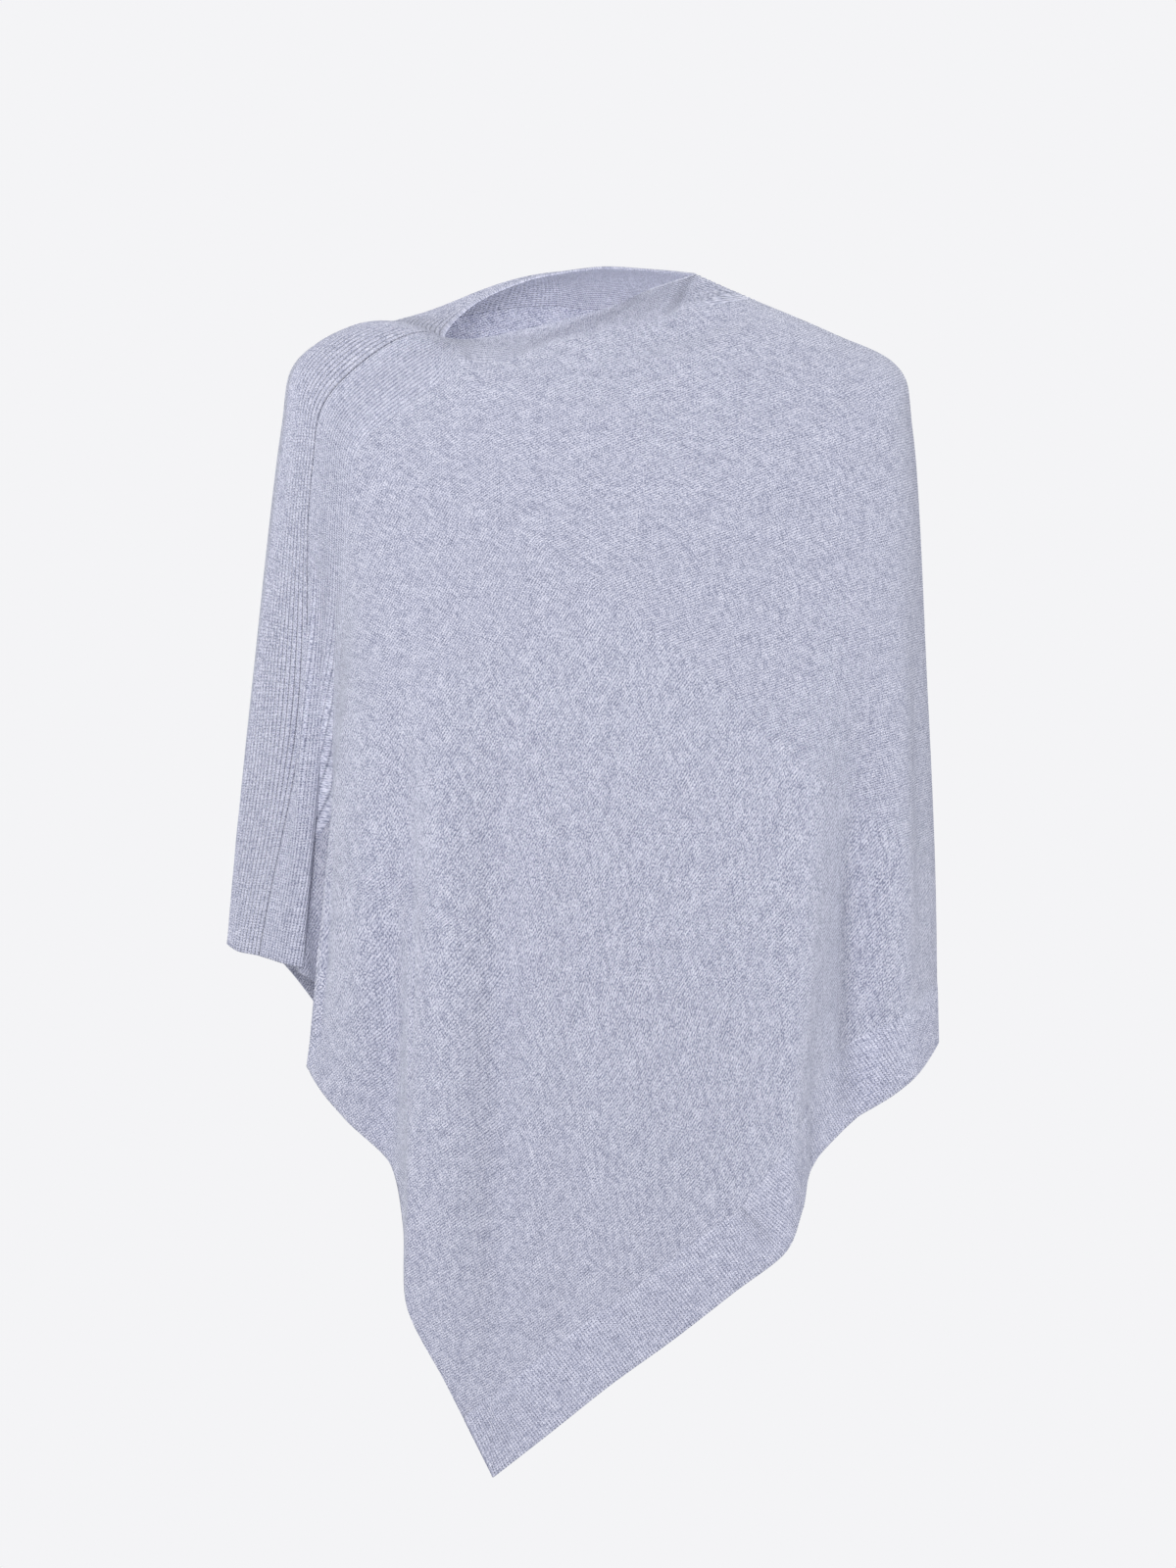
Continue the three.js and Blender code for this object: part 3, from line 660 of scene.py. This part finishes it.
class Nodes:
    """Small helper for a material's nodes."""

    def __init__(self, name):
        self.material = bpy.data.materials.new(name)
        self.material.use_nodes = True
        self.tree = self.material.node_tree
        self.shader = self.tree.nodes["Principled BSDF"]

    def add(self, kind, **values):
        node = self.tree.nodes.new(kind)
        for key, value in values.items():
            setattr(node, key, value)
        return node

    def link(self, source, target):
        self.tree.links.new(source, target)

    def put(self, target, value):
        if isinstance(value, (int, float)):
            target.default_value = value
        else:
            self.link(value, target)

    def math(self, operation, a, b=None):
        node = self.add("ShaderNodeMath", operation=operation)
        self.put(node.inputs[0], a)
        if b is not None:
            self.put(node.inputs[1], b)
        return node.outputs[0]

    def wave(self, value, pitch):
        """A crest of 1 in the middle of each pitch and 0 between them."""
        angle = self.math("MULTIPLY", value, math.pi / pitch)
        return self.math("ABSOLUTE", self.math("SINE", angle))

    def total(self, value, *weighted):
        """A value with others added to it, each times its weight."""
        for other, weight in weighted:
            value = self.math("ADD", value, self.math("MULTIPLY", other, weight))
        return value

    def grain(self, along, across, kind, seed):
        """Noise drawn out along and across the rows of the knit."""
        along_scale, across_scale, shift, detail = kind
        x = self.math("MULTIPLY", along, along_scale)
        y = self.math("MULTIPLY", across, across_scale)
        vector = self.add("ShaderNodeCombineXYZ")
        self.put(vector.inputs[0], x)
        self.put(vector.inputs[1], y)
        self.put(vector.inputs[2], seed + shift)
        node = self.add("ShaderNodeTexNoise")
        node.inputs["Scale"].default_value = 1.0
        node.inputs["Detail"].default_value = detail
        self.link(vector.outputs[0], node.inputs["Vector"])
        return node.outputs[0]

    def ramp(self, value, stops):
        node = self.add("ShaderNodeValToRGB")
        ramp = node.color_ramp
        while len(ramp.elements) < len(stops):
            ramp.elements.new(0.5)
        for element, (position, colour) in zip(ramp.elements, stops):
            element.position = position
            element.color = (*colour, 1)
        self.put(node.inputs[0], value)
        return node.outputs[0]

    def multiplied(self, colour, factor_colour):
        node = self.add("ShaderNodeMix", data_type="RGBA", blend_type="MULTIPLY")
        self.put(node.inputs[0], 1.0)
        self.link(colour, node.inputs[6])
        self.link(factor_colour, node.inputs[7])
        return node.outputs[2]


WOOL_DARK = (0.240, 0.255, 0.345)
WOOL_MIDDLE = (0.440, 0.452, 0.560)
WOOL_LIGHT = (0.610, 0.615, 0.715)
WOOL_CONTRAST = 4.8

# Grains of the knit: cycles a metre along and across the rows, shift of the seed, detail
DRIFT = (40, 40, 0, 2.0)
STREAKS = (380, 125, 3, 2.0)
THREADS = (150, 420, 5, 2.0)
FLECKS = (1150, 1000, 7, 1.0)
CLOUDS = (110, 60, 11, 2.0)


def knit_material(
    name, row_pitch, stitch_pitch, groove_shade, relief_depth, wander, seed, shade=1.0
):
    """Melange wool in rows of stitches: v counts across the rows and u along them, in metres."""
    nodes = Nodes(name)
    place = nodes.add("ShaderNodeUVMap", uv_map="knit")
    parts = nodes.add("ShaderNodeSeparateXYZ")
    nodes.link(place.outputs[0], parts.inputs[0])
    along, across = parts.outputs[0], parts.outputs[1]

    # Rows that wander a little, with slanting stitches along them
    drift = nodes.grain(along, across, DRIFT, seed)
    rows = nodes.wave(nodes.total(across, (drift, wander * row_pitch * MM)), row_pitch * MM)
    slanting = nodes.total(along, (rows, 0.4 * stitch_pitch * MM))
    stitches = nodes.wave(slanting, stitch_pitch * MM)

    # Yarn of three shades and a little cloudy, with painted shade darkening the gaps between
    # stitches
    streaks = nodes.grain(along, across, STREAKS, seed)
    threads = nodes.grain(along, across, THREADS, seed)
    flecks = nodes.grain(along, across, FLECKS, seed)
    clouds = nodes.grain(along, across, CLOUDS, seed)
    tone = nodes.math("MULTIPLY", streaks, 0.22)
    tone = nodes.total(tone, (threads, 0.14), (flecks, 0.64))
    centred = nodes.math("SUBTRACT", tone, 0.5)
    spread = nodes.math("ADD", nodes.math("MULTIPLY", centred, WOOL_CONTRAST), 0.5)
    wools = zip((0.02, 0.5, 0.98), (WOOL_DARK, WOOL_MIDDLE, WOOL_LIGHT))
    colour = nodes.ramp(spread, [(at, tuple(shade * c for c in wool)) for at, wool in wools])
    # Painted shade: the gaps between rows and stitches get a darker, bluer colour
    gap_shade_mask = nodes.total(rows, (stitches, 0.3))
    painted_gap_shade_colour = (groove_shade, 1.03 * groove_shade, 1.14 * groove_shade)
    painted_gap_shade = nodes.ramp(gap_shade_mask, [(0.05, painted_gap_shade_colour), (0.72, (1.0, 1.0, 1.0))])
    patches = nodes.ramp(clouds, [(0.3, (0.92, 0.92, 0.93)), (0.7, (1.02, 1.02, 1.01))])
    colour = nodes.multiplied(nodes.multiplied(colour, painted_gap_shade), patches)
    nodes.link(colour, nodes.shader.inputs["Base Color"])

    # Relief of the stitches, and a matt surface with a soft nap
    relief = nodes.total(rows, (stitches, 0.7), (flecks, 1.2), (threads, 0.5))
    bump = nodes.add("ShaderNodeBump")
    bump.inputs["Strength"].default_value = 0.8
    bump.inputs["Distance"].default_value = relief_depth * MM
    nodes.link(relief, bump.inputs["Height"])
    nodes.link(bump.outputs[0], nodes.shader.inputs["Normal"])
    rough = nodes.ramp(flecks, [(0.2, (0.86, 0.86, 0.86)), (0.8, (0.98, 0.98, 0.98))])
    nodes.link(rough, nodes.shader.inputs["Roughness"])
    nodes.shader.inputs["Specular IOR Level"].default_value = 0.12
    nodes.shader.inputs["Sheen Weight"].default_value = 0.5
    nodes.shader.inputs["Sheen Roughness"].default_value = 0.4
    nodes.shader.inputs["Sheen Tint"].default_value = (0.86, 0.89, 1.0, 1)
    return nodes.material


def seam_stitches(material):
    """Chain stitches that link the front and back bands along the shoulder seam."""
    falls = np.linspace(1, 0, CHAIN_SAMPLES)
    places = np.stack([np.zeros_like(falls), falls], -1)
    base = cloth_points(places)
    outward = cloth_frame(places)[2]
    line = base + outward * (crease_lift(base, outward)[:, None] - CHAIN_SINK)
    run = run_along(line)
    count = int(run[-1] / CHAIN_PITCH)
    points = []
    faces = []
    uv = []

    def read(values, at):
        return np.array([np.interp(at, run, values[:, axis]) for axis in range(3)])

    for index in range(count):
        at = (index + 0.5) * run[-1] / count
        centre = read(line, at)
        forward = unit(read(line, at + 1) - read(line, at - 1))
        up = read(outward, at)
        up = unit(up - forward * dot(up, forward))
        lean = unit(forward + np.cross(up, forward) * CHAIN_LEAN)
        cross = np.cross(up, lean)
        first = len(points)
        for ring in range(CHAIN_RINGS):
            turn = math.pi * (ring + 0.5) / CHAIN_RINGS
            radius = math.sin(turn)
            middle = centre + lean * (-CHAIN_HALF_LENGTH * math.cos(turn))
            middle = middle + up * (CHAIN_ARCH * radius)
            for step in range(CHAIN_SIDES):
                angle = 2 * math.pi * step / CHAIN_SIDES
                spoke = cross * math.cos(angle) * CHAIN_HALF_WIDTH
                spoke = spoke + up * math.sin(angle) * CHAIN_HALF_HEIGHT
                points.append(middle + spoke * radius)
                uv.append((at, CHAIN_GIRTH * step / CHAIN_SIDES))
        for ring in range(CHAIN_RINGS - 1):
            for step in range(CHAIN_SIDES):
                after = (step + 1) % CHAIN_SIDES
                a = first + ring * CHAIN_SIDES
                b = a + CHAIN_SIDES
                faces.append((a + step, a + after, b + after, b + step))
        last = first + (CHAIN_RINGS - 1) * CHAIN_SIDES
        faces.append(tuple(first + step for step in reversed(range(CHAIN_SIDES))))
        faces.append(tuple(last + step for step in range(CHAIN_SIDES)))
    points = np.array(points)
    sealed = np.zeros(len(points), int)
    return mesh_object("seam_stitches", points, faces, np.array(uv), material, sealed)


front = Half(
    "front", seam=0, point=FRONT_POINT, sign=1, width=FRONT_BAND_WIDTH,
    pitch=FRONT_RIB_PITCH, height=FRONT_RIB_HEIGHT, corner=FRONT_CORNER_LINES,
)
back = Half(
    "back", seam=LINE_COUNT, point=BACK_POINT, sign=-1, width=BACK_BAND_WIDTH,
    pitch=BACK_RIB_PITCH, height=BACK_RIB_HEIGHT, corner=BACK_CORNER_LINES,
)

panel_knit = knit_material(
    "panel_knit", row_pitch=JERSEY_PITCH, stitch_pitch=1.5, groove_shade=0.50,
    relief_depth=0.5, wander=1.2, seed=1.0,
)
# A shade above 1 is painted light: it lifts a band's wool to make up for the darkening of its
# painted groove shade
front_band_knit = knit_material(
    "front_band_knit", row_pitch=2.35, stitch_pitch=1.9, groove_shade=0.40,
    relief_depth=0.6, wander=0.0, seed=21.0, shade=1.08,
)
back_band_knit = knit_material(
    "back_band_knit", row_pitch=4.0, stitch_pitch=2.2, groove_shade=0.16,
    relief_depth=0.6, wander=0.0, seed=41.0, shade=1.03,
)
hem_rib_knit = knit_material(
    "hem_rib_knit", row_pitch=2.4, stitch_pitch=1.8, groove_shade=0.48,
    relief_depth=0.5, wander=0.0, seed=61.0, shade=1.06,
)
# Painted shade: the seam's chain stitches take the garment's wool at 0.6, darker than their relief
# alone makes them
shaded_seam_yarn = knit_material(
    "shaded_seam_yarn", row_pitch=0.9, stitch_pitch=1.2, groove_shade=0.75,
    relief_depth=0.3, wander=0.0, seed=81.0, shade=0.6,
)

pieces = {}
for half, band_knit in ((front, front_band_knit), (back, back_band_knit)):
    label = half.label
    pieces[f"{label}_top_band"] = half.top_band(TOP_RIB_SAMPLES[label], band_knit)
    pieces[f"{label}_hem_band"] = half.hem_band(HEM_STEPS, hem_rib_knit)
    pieces[f"{label}_panel"] = half.panel(panel_knit)
stitches = seam_stitches(shaded_seam_yarn)

for node, piece in pieces.items():
    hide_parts(node)


def plain_material(name, colour, roughness):
    nodes = Nodes(name)
    clouds = nodes.add("ShaderNodeTexNoise")
    clouds.inputs["Scale"].default_value = 3.0
    tint = nodes.ramp(clouds.outputs[0], [(0.3, tuple(0.985 * c for c in colour)), (0.7, colour)])
    nodes.link(tint, nodes.shader.inputs["Base Color"])
    nodes.shader.inputs["Roughness"].default_value = roughness
    return nodes.material


# A pale studio floor, as far below the shoulders as the feet of a wearer
FLOOR_Z = -1.45
FLOOR_RADIUS = 5.0
FLOOR_SIDES = 96
floor_turns = [2 * math.pi * step / FLOOR_SIDES for step in range(FLOOR_SIDES)]
floor_ring = [
    (FLOOR_RADIUS * math.cos(turn), FLOOR_RADIUS * math.sin(turn), FLOOR_Z)
    for turn in floor_turns
]
floor_mesh = bpy.data.meshes.new("floor")
floor_mesh.from_pydata(floor_ring, [], [tuple(range(FLOOR_SIDES))])
floor_mesh.materials.append(plain_material("floor_paint", (0.95, 0.95, 0.96), 0.9))
floor = placed("floor", floor_mesh)

# The photograph's angle: level with the middle of the garment, from far in front
camera_data = bpy.data.cameras.new("camera")
camera_data.sensor_width = 36
camera_data.lens = 250
camera_data.clip_end = 60
camera = placed("camera", camera_data)
camera.location = (-0.0086, -8.1, -0.36)
camera.rotation_euler = (math.pi / 2, 0, 0)
bpy.context.scene.camera = camera


# A narrow spread keeps the lamps' light on the garment and off the floor below them
LIGHT_SPREAD = 1.6

# Lamps round the garment: name, place, what it points at, size, watts, colour
LAMPS = (
    ("key", (-0.8, -4.2, 0.35), (0, 0, -0.38), 1.2, 21.5, (1.0, 0.99, 0.98)),
    ("low", (-0.3, -3.4, -1.3), (0, 0, -0.75), 1.0, 9, (1.0, 1.0, 1.0)),
    ("left_side", (3.0, 0.3, -0.1), (0, 0, -0.4), 1.4, 14, (1.0, 1.0, 1.0)),
    ("right_side", (-3.0, 0.3, -0.1), (0, 0, -0.4), 1.4, 3.2, (0.98, 0.99, 1.0)),
    ("top", (-0.3, -1.4, 1.6), (0, 0, -0.05), 0.8, 6.5, (1.0, 1.0, 1.0)),
    ("back", (0.8, 4.2, 0.2), (0, 0, -0.4), 1.4, 14, (1.0, 1.0, 1.0)),
)
for name, place, target, size, power, colour in LAMPS:
    data = bpy.data.lights.new(name, "AREA")
    data.shape = "DISK"
    data.size = size
    data.energy = power
    data.color = colour
    data.spread = LIGHT_SPREAD
    light = placed(name, data)
    light.location = place
    aim = Vector(target) - Vector(place)
    light.rotation_euler = aim.to_track_quat("-Z", "Y").to_euler()

# A small lamp inside the neck stands for the light that comes through the thin knit
glow_data = bpy.data.lights.new("glow", "POINT")
glow_data.energy = 0.8
glow_data.shadow_soft_size = 0.05
glow = placed("glow", glow_data)
glow.location = (0.0, -0.03, -0.11)

# Even studio light from all round, with the photograph's pale ground behind
scene = bpy.context.scene
scene.world = scene.world or bpy.data.worlds.new("studio")
scene.world.use_nodes = True
world = scene.world.node_tree
world.nodes.clear()
ground = world.nodes.new("ShaderNodeBackground")
ground.inputs["Color"].default_value = (0.905, 0.905, 0.922, 1)
ambient = world.nodes.new("ShaderNodeBackground")
ambient.inputs["Color"].default_value = (0.97, 0.98, 1.0, 1)
ambient.inputs["Strength"].default_value = 0.42
ray = world.nodes.new("ShaderNodeLightPath")
choice = world.nodes.new("ShaderNodeMixShader")
output = world.nodes.new("ShaderNodeOutputWorld")
world.links.new(ray.outputs["Is Camera Ray"], choice.inputs[0])
world.links.new(ambient.outputs[0], choice.inputs[1])
world.links.new(ground.outputs[0], choice.inputs[2])
world.links.new(choice.outputs[0], output.inputs[0])
scene.view_settings.view_transform = "Standard"
scene.view_settings.look = "None"
